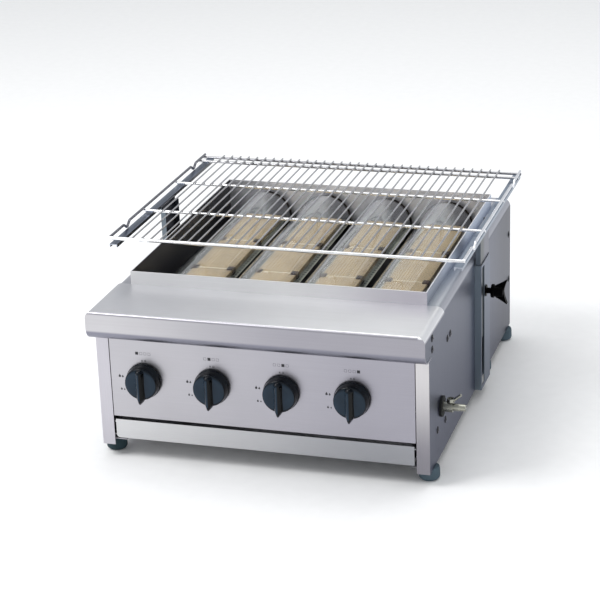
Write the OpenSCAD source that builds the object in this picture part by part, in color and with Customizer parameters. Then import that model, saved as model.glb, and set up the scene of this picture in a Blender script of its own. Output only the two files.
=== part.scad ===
// Counter-top infrared gas grill: four ceramic burners under glass covers,
// a wire grate that is raised and lowered on two clamped posts, four valve knobs.
// Every part is drawn with the hood's front face at Y = 0 and the underside of the
// body at Z = 0, then place() moves it so that the origin is under the middle.

/* [Body] */
// Width of the front hood
hood_w = 600; // [580:2:640]
// Depth of the body, from the hood's front to the back panel
body_d = 750; // [740:2:780]
// Height of the body above its feet
body_h = 265; // [260:1:275]
// Depth of the front hood
hood_d = 146; // [144:1:150]
// Distance from the hood's front back to the posts and the control panel
panel_y = 36; // [34:1:38]
// Thickness of the sheet metal
sheet = 1.5; // [1:0.1:2]

/* [Opening] */
// Width of the raised rim round the burners
rim_w = 540; // [536:1:546]
// Height of the rim above the top of the body
rim_h = 24; // [18:1:30]
// Distance from the rim's rear wall to the back panel
rim_back = 52; // [48:1:56]

/* [Burners] */
// Distance between the middles of two burners
burner_pitch = 124; // [122:0.5:126]
// Ceramic plates on each burner
plate_count = 3; // [2:1:4]
// Width of a ceramic plate
plate_w = 76; // [70:1:77]
// Outer radius of a glass cover
glass_r = 50; // [49:0.5:51]

/* [Knobs] */
// Height of the knobs above the underside of the body
knob_z = 130; // [125:1:135]
// Distance between the middles of two knobs
knob_pitch = 125.5; // [124:0.5:126]
// Distance that the row of knobs sits to the left of the burners
knob_shift = 23.25; // [22:0.25:27]
// Radius of a knob at its front
knob_r = 30; // [27:0.5:31]

/* [Grate] */
// Width of the grate over its side rods' middles
grate_w = 648; // [646:1:652]
// Distance from the hood's front to the grate's front bar
grate_y = 190; // [188:1:196]
// Depth of the grate between its front and rear bars
grate_d = 521; // [515:1:525]
// Wires of the grate
wire_count = 33; // [25:1:37]

/* [Height adjustment] */
// Height of the rails' tops with the grate at rest
rail_z = 323; // [318:1:324]
// Distance from the hood's front to the middle of the guide channels
guide_y = 446; // [440:1:450]
// How far the grate can be raised
lift_up = 60; // [30:5:60]
// How far the grate can be lowered
lift_down = 28; // [20:1:28]

/* [Tray and feet] */
// Width of the drip tray's front
tray_w = 542; // [536:1:544]
// Height of the feet
foot_h = 24; // [18:1:30]
// Largest radius of a foot
foot_r = 18.5; // [16:0.5:19]

/* [Hidden] */
$fn = 48;

// Body
side_x = hood_w / 2 - 2;          // outer face of a side panel
web_x = side_x - sheet;           // inner face of a side panel
rim_x = rim_w / 2;
rim_end = body_d - rim_back;
rim_z = body_h + rim_h;
rim_low = 200;                    // bottom edge of the rim's walls
rim_t = 2;
shoulder_r = 15;                  // outer radius of the side panels' top bend
nose_z = 235;                     // where the hood's front face starts to curl under
nose_r = 24;
nose_end = panel_y + 10;          // rear edge of the hood's underside
edge_r = 5;                       // bend along the top of the hood's front
end_r = 12;                       // bends down along the hood's two ends
ear_top = body_h - end_r;         // top of the side panels inside the hood
post_w = 23;                      // width of the side panels' front flanges
foot_flange = 36;
foot_flange_y = 60;
vent_len = 60;
vent_w = 6;

// Control panel and gas train
panel_low = 57;
panel_top = nose_z - nose_r - 2;
panel_x = side_x - post_w - 1.5;
stem_r = 4;
stem_fit = 0.08;
valve_y = 66;                     // middle of the gas manifold, front to back
valve_r = 11;
valve_front = 48;
valve_back = 80;
manifold_r = 10;
manifold_x = 240;
nozzle_tip = 97;
tube_r = 12;
tube_t = 1.5;
tube_y = 230;                     // where a mixing tube turns up into its burner
cock_y = 125;
cock_z = 90;
manifold_z = cock_z;
cock_r = 9.5;
nipple_r = 6.5;
nipple_len = 22;
nipple_plain = 10;                // plain stretch of the nipple, before its barbs
cock_end = side_x + 21;
pipe_r = 6;
grommet_r = 18.5;
lever_x = cock_end - 4;

// Knobs
knob_front = 3;
skirt_front = 15;
skirt_back = 32;
grip_w = 12;
knob_push = 3;

// Burners
burner_z = 187.5;                 // underside of the burner bodies
deck_z = 222;                     // top of the burner bodies
burner_half = 41;
burner_y0 = hood_d + 5;
burner_y1 = rim_end - 5;
plate_z = 217;
plate_t = 13;
plate_len = 160;
plate_gap = 0.6;
plates_len = plate_count * plate_len;
plates_y0 = (burner_y0 + burner_y1 - plates_len) / 2;
glass_t = 3;
glass_y0 = burner_y0 + 9;
glass_y1 = burner_y1 - 9;
end_t = 2;

// Grate
rod_r = 2.6;
bar_r = 3.2;
wire_r = 1.6;
wire_z = rail_z + 10;
wire_span = 566;
wire_pitch = wire_span / (wire_count - 1);
wire_gap = 0.02;
wire_sides = 10;
rest_gap = 0.3;
grate_x = grate_w / 2;
grate_end = grate_y + grate_d;
dip_half = 17;
dip_z = rail_z + rest_gap + rod_r;
cross_z = wire_z - wire_r - rod_r - wire_gap;
side_z = cross_z + 2 * rod_r + wire_gap;
bar_end = grate_x + rod_r;

// Height adjustment
guide_half = 39.5;
guide_flange = 25;                // width of a channel's rear flange
guide_out = side_x + 12.5;        // outer face of a guide channel
guide_top = 246;
guide_slot = 23;
lip_w = 4;
post_half = guide_half - 2.5;
post_out = guide_out - 2;
post_t = 2;
post_low = 100;
stud_r = 4;
stud_z = 185;
stud_fit = 0.1;
rail_y0 = grate_y - 4;
rail_y1 = grate_end + 11;
rail_lip = 6;
rail_out = grate_x - 1;

// Tray and feet
tray_low = 15;
tray_high = 50.5;
tray_floor = 17;
tray_lip = 46;
tray_half = 266;
tray_end = 690;
tray_corner = 6;
runner_z = tray_lip - sheet - 0.4;
foot_y = [74, 556, 725];
foot_x = [288, 280, 288];
floor_rail_y = [120, 400, 680];

// Pan-head screws on each side: distance back and height
screw_r = 4;
screw_spots = [
    [61, 241], [61, 221], [177, 195], [198, 196], [156, 51], [95, 58], [733, 196], [734, 102]
];

function burner_x(n) = (n - 2.5) * burner_pitch;
function knob_x(n) = (n - 2.5) * knob_pitch - knob_shift;
function wire_x(i) = -wire_span / 2 + i * wire_pitch;
function tray_x() = tray_w / 2;

module place() {
    translate([0, -body_d / 2, foot_h]) children();
}

// side is 1 on the right and -1 on the left
module on_side(side) {
    mirror([side < 0 ? 1 : 0, 0, 0]) children();
}

module box(low, high) {
    translate(low) cube(high - low);
}

// A round rod from point a to point b
module rod(a, b, r) {
    v = b - a;
    translate(a) rotate([0, acos(v[2] / norm(v)), atan2(v[1], v[0])]) cylinder(h = norm(v), r = r);
}

// A round rod along a list of points, with a ball at each corner
module bent_rod(points, r) {
    for (i = [1 : len(points) - 1]) rod(points[i - 1], points[i], r);
    for (i = [1 : len(points) - 2]) translate(points[i]) sphere(r = r);
}

module disc_y(x, z, y0, y1, r) {
    translate([x, y0, z]) rotate([-90, 0, 0]) cylinder(h = y1 - y0, r = r);
}

module disc_x(x0, x1, y, z, r) {
    translate([x0, y, z]) rotate([0, 90, 0]) cylinder(h = x1 - x0, r = r);
}

// Outline of the hood in the YZ plane, drawn inset from its outer face
module hood_outline(inset, back) {
    translate([inset, nose_z]) square([back - inset, body_h - edge_r - nose_z]);
    translate([edge_r, body_h - edge_r]) square([back - edge_r, edge_r - inset]);
    intersection() {
        translate([edge_r, body_h - edge_r]) circle(r = edge_r - inset);
        translate([0, body_h - edge_r]) square(edge_r);
    }
    intersection() {
        translate([nose_r, nose_z]) circle(r = nose_r - inset);
        square([nose_r, nose_z]);
    }
    translate([nose_r, nose_z - nose_r + inset]) square([nose_end - nose_r, nose_r - inset]);
}

module along_x(x0, x1) {
    translate([x0, 0, 0]) rotate([90, 0, 90]) linear_extrude(x1 - x0) children();
}

// Quarter-round bend of sheet that runs front to back, round the line at x and z
module bend(x, z, r, y0, y1) {
    translate([x, y1, z]) rotate([90, 0, 0]) linear_extrude(y1 - y0) intersection() {
        difference() {
            circle(r = r);
            circle(r = r - sheet);
        }
        square(r);
    }
}

module hood_profile() {
    difference() {
        hood_outline(0, hood_d);
        hood_outline(sheet, hood_d + 1);
        translate([nose_r, nose_z - nose_r + sheet]) square([nose_end, nose_r]);
    }
}

module front_hood() {
    bend_x = hood_w / 2 - end_r;
    low = body_h - end_r;
    color("silver") place() {
        along_x(-bend_x, bend_x) hood_profile();
        for (side = [-1, 1]) on_side(side) {
            along_x(bend_x, hood_w / 2) intersection() {
                hood_profile();
                square([hood_d, low]);
            }
            bend(bend_x, low, end_r, edge_r, hood_d);
            intersection() {
                disc_y(bend_x, low, 0, edge_r, end_r);
                along_x(bend_x, hood_w / 2) intersection() {
                    hood_outline(0, hood_d);
                    translate([0, low]) square([edge_r, end_r]);
                }
            }
        }
    }
}

module side_panel(side) {
    color("slategray") place() on_side(side) difference() {
        union() {
            box([web_x, panel_y, 0], [side_x, body_d, body_h - shoulder_r]);
            along_x(web_x, side_x) intersection() {
                hood_outline(sheet, hood_d);
                square([hood_d, ear_top]);
            }
            bend(side_x - shoulder_r, body_h - shoulder_r, shoulder_r, hood_d, body_d);
            box([rim_x, hood_d, body_h - sheet], [side_x - shoulder_r, body_d, body_h]);
            box([side_x - post_w, panel_y, 0], [side_x, panel_y + sheet, panel_top + 1]);
            box([side_x - foot_flange, foot_flange_y, 0], [side_x, body_d - sheet, sheet]);
        }
        box([web_x - 1, panel_y - 1, nose_z - nose_r], [side_x + 1, nose_end, nose_z - nose_r + sheet]);
        disc_x(web_x - 1, side_x + 1, guide_y, stud_z, stud_r + stud_fit);
        for (s = screw_spots) disc_x(web_x - 1, side_x + 1, s[0], s[1], screw_r / 2);
        if (side > 0) disc_x(web_x - 1, side_x + 1, cock_y, cock_z, grommet_r - 4);
        for (i = [0 : 2]) translate([foot_x[i], foot_y[i], -1]) cylinder(h = sheet + 2, r = stud_r);
    }
}

module vent(x, z) {
    box([x - vent_len / 2, body_d - sheet - 1, z - vent_w / 2], [x + vent_len / 2, body_d + 1, z + vent_w / 2]);
    for (end = [-1, 1]) disc_y(x + end * vent_len / 2, z, body_d - sheet - 1, body_d + 1, vent_w / 2);
}

module back_panel() {
    top = body_h - sheet;
    color("lightgray") place() difference() {
        union() {
            box([-web_x, body_d - sheet, 0], [web_x, body_d, body_h - shoulder_r]);
            box([shoulder_r - side_x, body_d - sheet, 0], [side_x - shoulder_r, body_d, top]);
            for (side = [-1, 1])
                disc_y(side * (side_x - shoulder_r), body_h - shoulder_r, body_d - sheet, body_d,
                       shoulder_r - sheet);
            box([-rim_x, rim_end, top], [rim_x, body_d, body_h]);
        }
        for (x = [-200 : 100 : 200]) for (z = [90, 110, 130]) vent(x, z);
    }
}

module floor_rails() {
    color("gray") place() for (y = floor_rail_y) {
        box([-web_x, y, sheet], [web_x, y + 28, 2 * sheet]);
        box([-tray_half, y, 2 * sheet], [tray_half, y + sheet, 11]);
    }
}

module opening_rim() {
    color("silver") place() difference() {
        box([-rim_x, hood_d, rim_low], [rim_x, rim_end, rim_z]);
        box([rim_t - rim_x, hood_d + rim_t, rim_low - 1], [rim_x - rim_t, rim_end - rim_t, rim_z + 1]);
    }
}

module control_panel() {
    color("silver") place() difference() {
        box([-panel_x, panel_y, panel_low], [panel_x, panel_y + 16, panel_top]);
        box([-panel_x - 1, panel_y + sheet, panel_low + sheet], [panel_x + 1, panel_y + 17, panel_top - sheet]);
        for (n = [1 : 4]) disc_y(knob_x(n), knob_z, panel_y - 1, panel_y + sheet + 1, stem_r + 2);
    }
}

module tray_runners() {
    color("gray") place() for (side = [-1, 1]) on_side(side) difference() {
        union() {
            box([tray_half + 2, panel_y + 4, runner_z - sheet], [web_x, tray_end, runner_z]);
            box([web_x - sheet, panel_y + 4, runner_z], [web_x, tray_end, runner_z + 16]);
        }
        for (s = screw_spots) disc_x(web_x - sheet - 1, web_x + 1, s[0], s[1], screw_r / 2);
    }
}

module tray_front_outline() {
    difference() {
        translate([-tray_x(), tray_low]) square([tray_w, tray_high - tray_low]);
        difference() {
            translate([-tray_x() - 1, tray_low - 1]) square(tray_corner + 1);
            translate([tray_corner - tray_x(), tray_low + tray_corner]) circle(r = tray_corner);
        }
    }
}

module drip_tray() {
    color("gainsboro") place() {
        translate([0, panel_y + sheet, 0]) rotate([90, 0, 0]) linear_extrude(sheet) tray_front_outline();
        difference() {
            box([-tray_half, panel_y + sheet, tray_floor], [tray_half, tray_end, tray_lip]);
            box([sheet - tray_half, panel_y + 2 * sheet, tray_floor + sheet],
                [tray_half - sheet, tray_end - sheet, tray_lip + 1]);
        }
        for (side = [-1, 1]) on_side(side)
            box([tray_half, panel_y + sheet, tray_lip - sheet], [tray_half + 7, tray_end, tray_lip]);
    }
}

module burner_rail(y, wall_y) {
    box([rim_t - rim_x, min(y, wall_y), burner_z - sheet], [rim_x - rim_t, max(y, wall_y), burner_z]);
    box([rim_t - rim_x, wall_y - sheet / 2, burner_z - sheet], [rim_x - rim_t, wall_y + sheet / 2, rim_low + 12]);
}

module burner_rails() {
    inner = hood_d + rim_t + sheet / 2;
    color("gray") place() {
        burner_rail(inner + 20, inner);
        burner_rail(rim_end - rim_t - sheet / 2 - 20, rim_end - rim_t - sheet / 2);
    }
}

module burner_body(n) {
    x = burner_x(n);
    color("dimgray") place() difference() {
        union() {
            box([x - burner_half, burner_y0, burner_z], [x + burner_half, burner_y1, deck_z]);
            box([x - glass_r - 2, burner_y0, deck_z - sheet], [x + glass_r + 2, burner_y1, deck_z]);
        }
        // The chamber, the opening that the plates lie in, and the ledge between them
        box([x - burner_half + sheet, burner_y0 + sheet, burner_z + sheet],
            [x + burner_half - sheet, burner_y1 - sheet, plate_z - sheet]);
        box([x - plate_w / 2 - 0.3, plates_y0 - 0.3, plate_z],
            [x + plate_w / 2 + 0.3, plates_y0 + plates_len + 0.3, deck_z + 1]);
        box([x - plate_w / 2 + 6, plates_y0 + 6, plate_z - sheet - 1],
            [x + plate_w / 2 - 6, plates_y0 + plates_len - 6, plate_z + 1]);
        translate([knob_x(n), tube_y, burner_z - 1]) cylinder(h = sheet + 2, r = tube_r + 0.1);
    }
}

module ceramic_plates(n) {
    color("burlywood") place() for (i = [0 : plate_count - 1]) {
        y = plates_y0 + i * plate_len + plate_gap / 2;
        box([burner_x(n) - plate_w / 2, y, plate_z],
            [burner_x(n) + plate_w / 2, y + plate_len - plate_gap, plate_z + plate_t]);
    }
}

module plate_clip() {
    top = plate_z + plate_t;
    box([plate_w / 2 - 9, -7, top], [plate_w / 2 + 3, 7, top + 2.5]);
    box([plate_w / 2 + 1.5, -7, deck_z], [plate_w / 2 + 3, 7, top]);
}

module plate_clips() {
    color("saddlebrown") place()
        for (n = [1 : 4]) for (i = [1 : plate_count - 1]) for (side = [-1, 1])
            translate([burner_x(n), plates_y0 + i * plate_len, 0]) on_side(side) plate_clip();
}

module glass_cover(n) {
    color("lightblue", 0.5) place() difference() {
        disc_y(burner_x(n), deck_z, glass_y0, glass_y1, glass_r);
        disc_y(burner_x(n), deck_z, glass_y0 - 1, glass_y1 + 1, glass_r - glass_t);
        box([burner_x(n) - glass_r - 1, glass_y0 - 1, deck_z - glass_r - 1],
            [burner_x(n) + glass_r + 1, glass_y1 + 1, deck_z]);
    }
}

module glass_ends() {
    color("dimgray") place() for (n = [1 : 4]) for (y = [glass_y0 - end_t, glass_y1]) difference() {
        disc_y(burner_x(n), deck_z, y, y + end_t, glass_r + 1.5);
        box([burner_x(n) - glass_r - 2, y - 1, deck_z - glass_r - 2],
            [burner_x(n) + glass_r + 2, y + end_t + 1, deck_z]);
    }
}

module tube_run(x, r, front, top) {
    bent_rod([[x, front, knob_z], [x, tube_y, knob_z], [x, tube_y, top]], r);
}

module mixing_tube(n) {
    mouth = nozzle_tip + 1;
    color("lightsteelblue") place() difference() {
        union() {
            tube_run(knob_x(n), tube_r, mouth + 6, burner_z + sheet + 3);
            translate([knob_x(n), mouth, knob_z]) rotate([-90, 0, 0])
                cylinder(h = 10, r1 = tube_r + 4, r2 = tube_r);
        }
        tube_run(knob_x(n), tube_r - tube_t, mouth + 5, burner_z + sheet + 4);
        translate([knob_x(n), mouth - 0.01, knob_z]) rotate([-90, 0, 0])
            cylinder(h = 10, r1 = tube_r + 4 - tube_t, r2 = tube_r - tube_t);
    }
}

module gas_manifold() {
    color("silver") place() disc_x(knob_x(1) - 24, manifold_x, valve_y, manifold_z, manifold_r);
}

module gas_valve(x) {
    difference() {
        union() {
            disc_y(x, knob_z, valve_front, valve_back, valve_r);
            disc_y(x, knob_z, valve_front - 6, valve_front, valve_r - 2);
            box([x - 8, valve_y - 8, manifold_z + manifold_r], [x + 8, valve_y + 8, knob_z]);
        }
        disc_y(x, knob_z, valve_front - 7, valve_back - 14, stem_r + stem_fit);
    }
}

module gas_valves() {
    color("goldenrod") place() for (n = [1 : 4]) gas_valve(knob_x(n));
}

module gas_nozzles() {
    color("gold") place() for (n = [1 : 4]) difference() {
        union() {
            disc_y(knob_x(n), knob_z, valve_back, valve_back + 8, 6);
            translate([knob_x(n), valve_back + 8, knob_z]) rotate([-90, 0, 0])
                cylinder(h = nozzle_tip - valve_back - 8, r1 = 5, r2 = 3);
        }
        disc_y(knob_x(n), knob_z, nozzle_tip - 6, nozzle_tip + 1, 0.75);
    }
}

module supply_pipe() {
    turn_x = manifold_x + 22;
    color("goldenrod") place() bent_rod([
        [manifold_x, valve_y, manifold_z],
        [turn_x, valve_y, manifold_z],
        [turn_x, cock_y, cock_z],
        [web_x - 4, cock_y, cock_z]
    ], pipe_r);
}

module gas_cock() {
    color("goldenrod") place() {
        disc_x(web_x - 4, cock_end, cock_y, cock_z, cock_r);
        disc_x(cock_end, cock_end + nipple_len, cock_y, cock_z, nipple_r - 1);
        disc_x(cock_end, cock_end + nipple_plain, cock_y, cock_z, nipple_r);
        for (i = [0 : 2]) translate([cock_end + nipple_plain + 4 * i, cock_y, cock_z]) rotate([0, 90, 0])
            cylinder(h = 3.6, r1 = nipple_r, r2 = nipple_r - 0.8);
        translate([lever_x, cock_y, cock_z]) cylinder(h = cock_r + 4, r = 4);
    }
}

module cock_lever() {
    low = cock_z + cock_r + 0.4;
    color("silver") place() difference() {
        union() {
            translate([lever_x, cock_y, low]) cylinder(h = 6, r = 7);
            rod([lever_x + 5, cock_y, low + 3], [lever_x + 18, cock_y, low + 14], 2.6);
        }
        translate([lever_x, cock_y, low - 1]) cylinder(h = 8, r = 4.08);
    }
}

module inlet_grommet() {
    color("black") place() difference() {
        union() {
            disc_x(side_x, side_x + 4, cock_y, cock_z, grommet_r);
            disc_x(web_x - 2, side_x, cock_y, cock_z, grommet_r - 4);
        }
        disc_x(web_x - 3, side_x + 5, cock_y, cock_z, cock_r);
    }
}

module valve_stem(n) {
    color("silver") place() disc_y(knob_x(n), knob_z, skirt_front - 1, valve_back - 16, stem_r);
}

// Grip bar seen from the front, with its pointer hanging below the skirt
module grip_outline() {
    half = grip_w / 2;
    tip = -knob_r - 5;
    translate([0, knob_r - half - 2]) circle(r = half);
    polygon([
        [-half, knob_r - half - 2], [half, knob_r - half - 2], [half, -knob_r + 2],
        [2, tip + 2], [-2, tip + 2], [-half, -knob_r + 2]
    ]);
    translate([0, tip + 2.4]) circle(r = 2.1);
}

module knob(n) {
    color("darkslategray") place() translate([knob_x(n), 0, knob_z]) difference() {
        union() {
            translate([0, skirt_front, 0]) rotate([-90, 0, 0])
                cylinder(h = skirt_back - skirt_front, r1 = knob_r, r2 = knob_r + 2);
            translate([0, skirt_front + 8, 0]) rotate([90, 0, 0])
                linear_extrude(skirt_front + 8 - knob_front) grip_outline();
        }
        disc_y(0, 0, skirt_front - knob_push - 2, skirt_back + 1, stem_r + stem_fit);
    }
}

module guide_channel(side) {
    y0 = guide_y - guide_half;
    y1 = guide_y + guide_half;
    color("slategray") place() on_side(side) difference() {
        union() {
            box([side_x, y0, 0], [guide_out, y1, guide_top]);
            box([side_x, y1, 0], [side_x + sheet, y1 + guide_flange, guide_top]);
        }
        box([side_x - 1, y0 + sheet, -1], [guide_out - sheet, y1 - sheet, guide_top + 1]);
        box([side_x, y0 + lip_w, 8], [guide_out + 1, y0 + lip_w + guide_slot, guide_top - 6]);
        disc_x(side_x, guide_out + 1, guide_y, stud_z, stud_r + stud_fit);
    }
}

module post_slot() {
    low = stud_z - lift_up - 2;
    high = stud_z + lift_down + 2;
    half = stud_r + 0.5;
    box([side_x, guide_y - half, low], [guide_out, guide_y + half, high]);
    for (z = [low, high]) disc_x(side_x, guide_out, guide_y, z, half);
}

module height_post(side) {
    inner = side_x + 1;
    wall = post_out - post_t;
    top = rail_z - rail_lip - 2;
    color("darkgray") place() on_side(side) difference() {
        union() {
            box([wall, guide_y - post_half, post_low], [post_out, guide_y + post_half, rail_z - 2]);
            for (y = [guide_y - post_half, guide_y + post_half - sheet])
                box([inner, y, post_low], [wall, y + sheet, top]);
        }
        post_slot();
    }
}

module grate_rail(side) {
    color("lightsteelblue") place() on_side(side) {
        box([post_out, rail_y0, rail_z - sheet], [rail_out, rail_y1, rail_z]);
        for (x = [post_out, rail_out - sheet])
            box([x, rail_y0, rail_z - rail_lip], [x + sheet, rail_y1, rail_z - sheet]);
    }
}

// A round wire swept along a path that lies in one plane; flat is that plane's normal
module swept_wire(path, r, flat) {
    last = len(path) - 1;
    function along(i) = path[min(i + 1, last)] - path[max(i - 1, 0)];
    function up(i) = cross(flat, along(i)) / norm(along(i));
    rings = [for (i = [0 : last]) for (k = [0 : wire_sides - 1]) let (a = 360 * k / wire_sides)
        path[i] + r * (cos(a) * flat + sin(a) * up(i))];
    walls = [for (i = [0 : last - 1]) for (k = [0 : wire_sides - 1]) let (j = (k + 1) % wire_sides)
        [i * wire_sides + k, i * wire_sides + j, (i + 1) * wire_sides + j, (i + 1) * wire_sides + k]];
    front = [for (k = [0 : wire_sides - 1]) wire_sides - 1 - k];
    back = [for (k = [0 : wire_sides - 1]) last * wire_sides + k];
    polyhedron(rings, concat([front], walls, [back]), convexity = 8);
}

// Side rods of the grate: each dips down twice to stand on its rail
module grate_side_rods() {
    dips = [grate_y + 85, grate_end - 70];
    path = concat(
        [[grate_x, grate_y + bar_r + wire_gap, side_z]],
        [for (d = dips) for (k = [-6 : 6])
            [grate_x, d + dip_half * k / 6, side_z - (side_z - dip_z) * (1 + cos(30 * k)) / 2]],
        [[grate_x, grate_end + rod_r, side_z]]
    );
    color("white") place() for (side = [-1, 1]) on_side(side) swept_wire(path, rod_r, [1, 0, 0]);
}

module grate_bars() {
    color("white") place() {
        rod([-bar_end, grate_y, wire_z], [bar_end, grate_y, wire_z], bar_r);
        for (y = [grate_y + grate_d / 3, grate_y + grate_d * 2 / 3, grate_end - 27, grate_end])
            rod([-bar_end, y, cross_z], [bar_end, y, cross_z], rod_r);
    }
}

module grate_wires() {
    color("whitesmoke") place() for (i = [0 : wire_count - 1])
        rod([wire_x(i), grate_y + bar_r + wire_gap, wire_z], [wire_x(i), grate_end + 4, wire_z], wire_r);
}

// Wing knob, drawn along +Z from the channel's face
module wing_knob() {
    difference() {
        union() {
            cylinder(h = 1.5, r = 11);
            translate([0, 0, 1.5]) cylinder(h = 9, r = 5.5);
            translate([0, 0, 10.5]) cylinder(h = 5, r = 13);
            translate([0, 0, 15.5]) cylinder(h = 18, r = 10.5);
            translate([0, 4, 0]) rotate([90, 0, 0]) linear_extrude(8) polygon([
                [-10, 17], [10, 17], [15, 25], [23.5, 38], [22, 40], [14, 37], [6, 34],
                [-6, 34], [-14, 37], [-22, 40], [-23.5, 38], [-15, 25]
            ]);
        }
        translate([0, 0, -1]) cylinder(h = 30, r = stud_r);
    }
}

module clamp_knob(side) {
    color("black") place() on_side(side) translate([guide_out + 0.3, guide_y, stud_z])
        rotate([0, 90, 0]) wing_knob();
}

module clamp_stud(side) {
    color("silver") place() on_side(side)
        disc_x(web_x - 12, guide_out + 29, guide_y, stud_z, stud_r);
}

module clamp_nuts() {
    color("silver") place() for (side = [-1, 1]) on_side(side) difference() {
        translate([web_x - 6.5, guide_y, stud_z]) rotate([0, 90, 0]) cylinder(h = 6.5, r = 7.5, $fn = 6);
        disc_x(web_x - 8, web_x + 1, guide_y, stud_z, stud_r + stud_fit);
    }
}

module foot() {
    difference() {
        union() {
            translate([0, 0, 5 - foot_h]) cylinder(h = foot_h - 5, r1 = foot_r, r2 = foot_r - 1.5);
            translate([0, 0, -foot_h]) cylinder(h = 5, r1 = foot_r - 5, r2 = foot_r);
        }
        translate([0, 0, -16]) cylinder(h = 17, r = stud_r);
    }
}

module feet() {
    color("darkslategray") place() for (side = [-1, 1]) for (i = [0 : 2])
        translate([side * foot_x[i], foot_y[i], 0]) foot();
}

module foot_bolts() {
    color("silver") place() for (side = [-1, 1]) for (i = [0 : 2])
        translate([side * foot_x[i], foot_y[i], 0]) {
            translate([0, 0, -15]) cylinder(h = 15 + sheet, r = stud_r);
            translate([0, 0, sheet]) cylinder(h = 5, r = 7, $fn = 6);
        }
}

module side_screws() {
    color("silver") place() for (side = [-1, 1]) on_side(side) for (s = screw_spots) {
        disc_x(side_x, side_x + 2.5, s[0], s[1], screw_r);
        disc_x(web_x - 5, side_x, s[0], s[1], screw_r / 2);
    }
}

side_panel(-1);  // side_panel_left
side_panel(1);  // side_panel_right
back_panel();
floor_rails();
front_hood();
opening_rim();
control_panel();
tray_runners();
drip_tray();
burner_rails();
burner_body(1);  // burner_body_1
burner_body(2);  // burner_body_2
burner_body(3);  // burner_body_3
burner_body(4);  // burner_body_4
ceramic_plates(1);  // ceramic_plates_1
ceramic_plates(2);  // ceramic_plates_2
ceramic_plates(3);  // ceramic_plates_3
ceramic_plates(4);  // ceramic_plates_4
plate_clips();
glass_cover(1);  // glass_cover_1
glass_cover(2);  // glass_cover_2
glass_cover(3);  // glass_cover_3
glass_cover(4);  // glass_cover_4
glass_ends();
mixing_tube(1);  // mixing_tube_1
mixing_tube(2);  // mixing_tube_2
mixing_tube(3);  // mixing_tube_3
mixing_tube(4);  // mixing_tube_4
gas_manifold();
gas_valves();
gas_nozzles();
supply_pipe();
gas_cock();
cock_lever();
inlet_grommet();
valve_stem(1);  // valve_stem_1
valve_stem(2);  // valve_stem_2
valve_stem(3);  // valve_stem_3
valve_stem(4);  // valve_stem_4
knob(1);  // knob_1
knob(2);  // knob_2
knob(3);  // knob_3
knob(4);  // knob_4
guide_channel(-1);  // guide_channel_left
guide_channel(1);  // guide_channel_right
height_post(-1);  // height_post_left
height_post(1);  // height_post_right
grate_rail(-1);  // grate_rail_left
grate_rail(1);  // grate_rail_right
grate_bars();
grate_side_rods();
grate_wires();
clamp_knob(-1);  // clamp_knob_left
clamp_knob(1);  // clamp_knob_right
clamp_stud(-1);  // clamp_stud_left
clamp_stud(1);  // clamp_stud_right
clamp_nuts();
feet();
foot_bolts();
side_screws();
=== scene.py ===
"""Looks for a counter-top gas grill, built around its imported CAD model.

Every piece takes its place from the CAD node that it stands for or lies on.
"""
import math

import bmesh
import bpy
from mathutils import Matrix, Vector


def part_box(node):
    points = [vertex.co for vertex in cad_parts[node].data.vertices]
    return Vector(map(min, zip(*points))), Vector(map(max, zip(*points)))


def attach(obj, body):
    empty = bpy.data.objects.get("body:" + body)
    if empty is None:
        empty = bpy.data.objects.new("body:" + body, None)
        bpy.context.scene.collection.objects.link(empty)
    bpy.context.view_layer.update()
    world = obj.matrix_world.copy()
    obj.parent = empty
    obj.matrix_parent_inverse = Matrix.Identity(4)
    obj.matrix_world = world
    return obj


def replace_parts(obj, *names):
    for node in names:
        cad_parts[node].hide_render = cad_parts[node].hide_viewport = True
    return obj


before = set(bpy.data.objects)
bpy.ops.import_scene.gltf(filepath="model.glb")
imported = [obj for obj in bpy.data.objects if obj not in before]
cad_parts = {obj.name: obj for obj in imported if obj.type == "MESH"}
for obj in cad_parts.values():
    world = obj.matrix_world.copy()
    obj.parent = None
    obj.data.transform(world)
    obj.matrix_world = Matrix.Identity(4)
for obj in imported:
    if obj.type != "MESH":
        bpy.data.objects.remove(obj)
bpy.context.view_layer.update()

MM = 0.001
BURNERS = (1, 2, 3, 4)
SIDES = ("left", "right")

WELD_DISTANCE = 0.01 * MM   # CAD vertices closer than this are one
KNOB_PUSH = 3 * MM          # how far a valve knob goes in along its stem
STEM_CLEARANCE = 0.08 * MM  # between a stem and the bore of its knob
GRIP_RISE = 12 * MM         # how far a knob's grip stands in front of its skirt
GRIP_HALF = 9.4 * MM        # half the grip's width at its foot

# ---------------------------------------------------------------- mesh helpers


def middle(node):
    """Middle of a CAD node's box."""
    low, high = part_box(node)
    return (low + high) / 2


def solid_boxes(node):
    """The box of each separate solid in a CAD node, as (low, high) pairs, in a steady order."""
    mesh = bmesh.new()
    mesh.from_mesh(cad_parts[node].data)
    bmesh.ops.remove_doubles(mesh, verts=mesh.verts, dist=WELD_DISTANCE)
    boxes, seen = [], set()
    for start in mesh.verts:
        if start in seen:
            continue
        seen.add(start)
        group, waiting = [], [start]
        while waiting:
            vert = waiting.pop()
            group.append(vert.co.copy())
            for edge in vert.link_edges:
                other = edge.other_vert(vert)
                if other not in seen:
                    seen.add(other)
                    waiting.append(other)
        low = Vector(tuple(min(p[k] for p in group) for k in range(3)))
        high = Vector(tuple(max(p[k] for p in group) for k in range(3)))
        boxes.append((low, high))
    mesh.free()
    return sorted(boxes, key=lambda pair: tuple(round(v, 5) for v in pair[0]))


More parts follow.
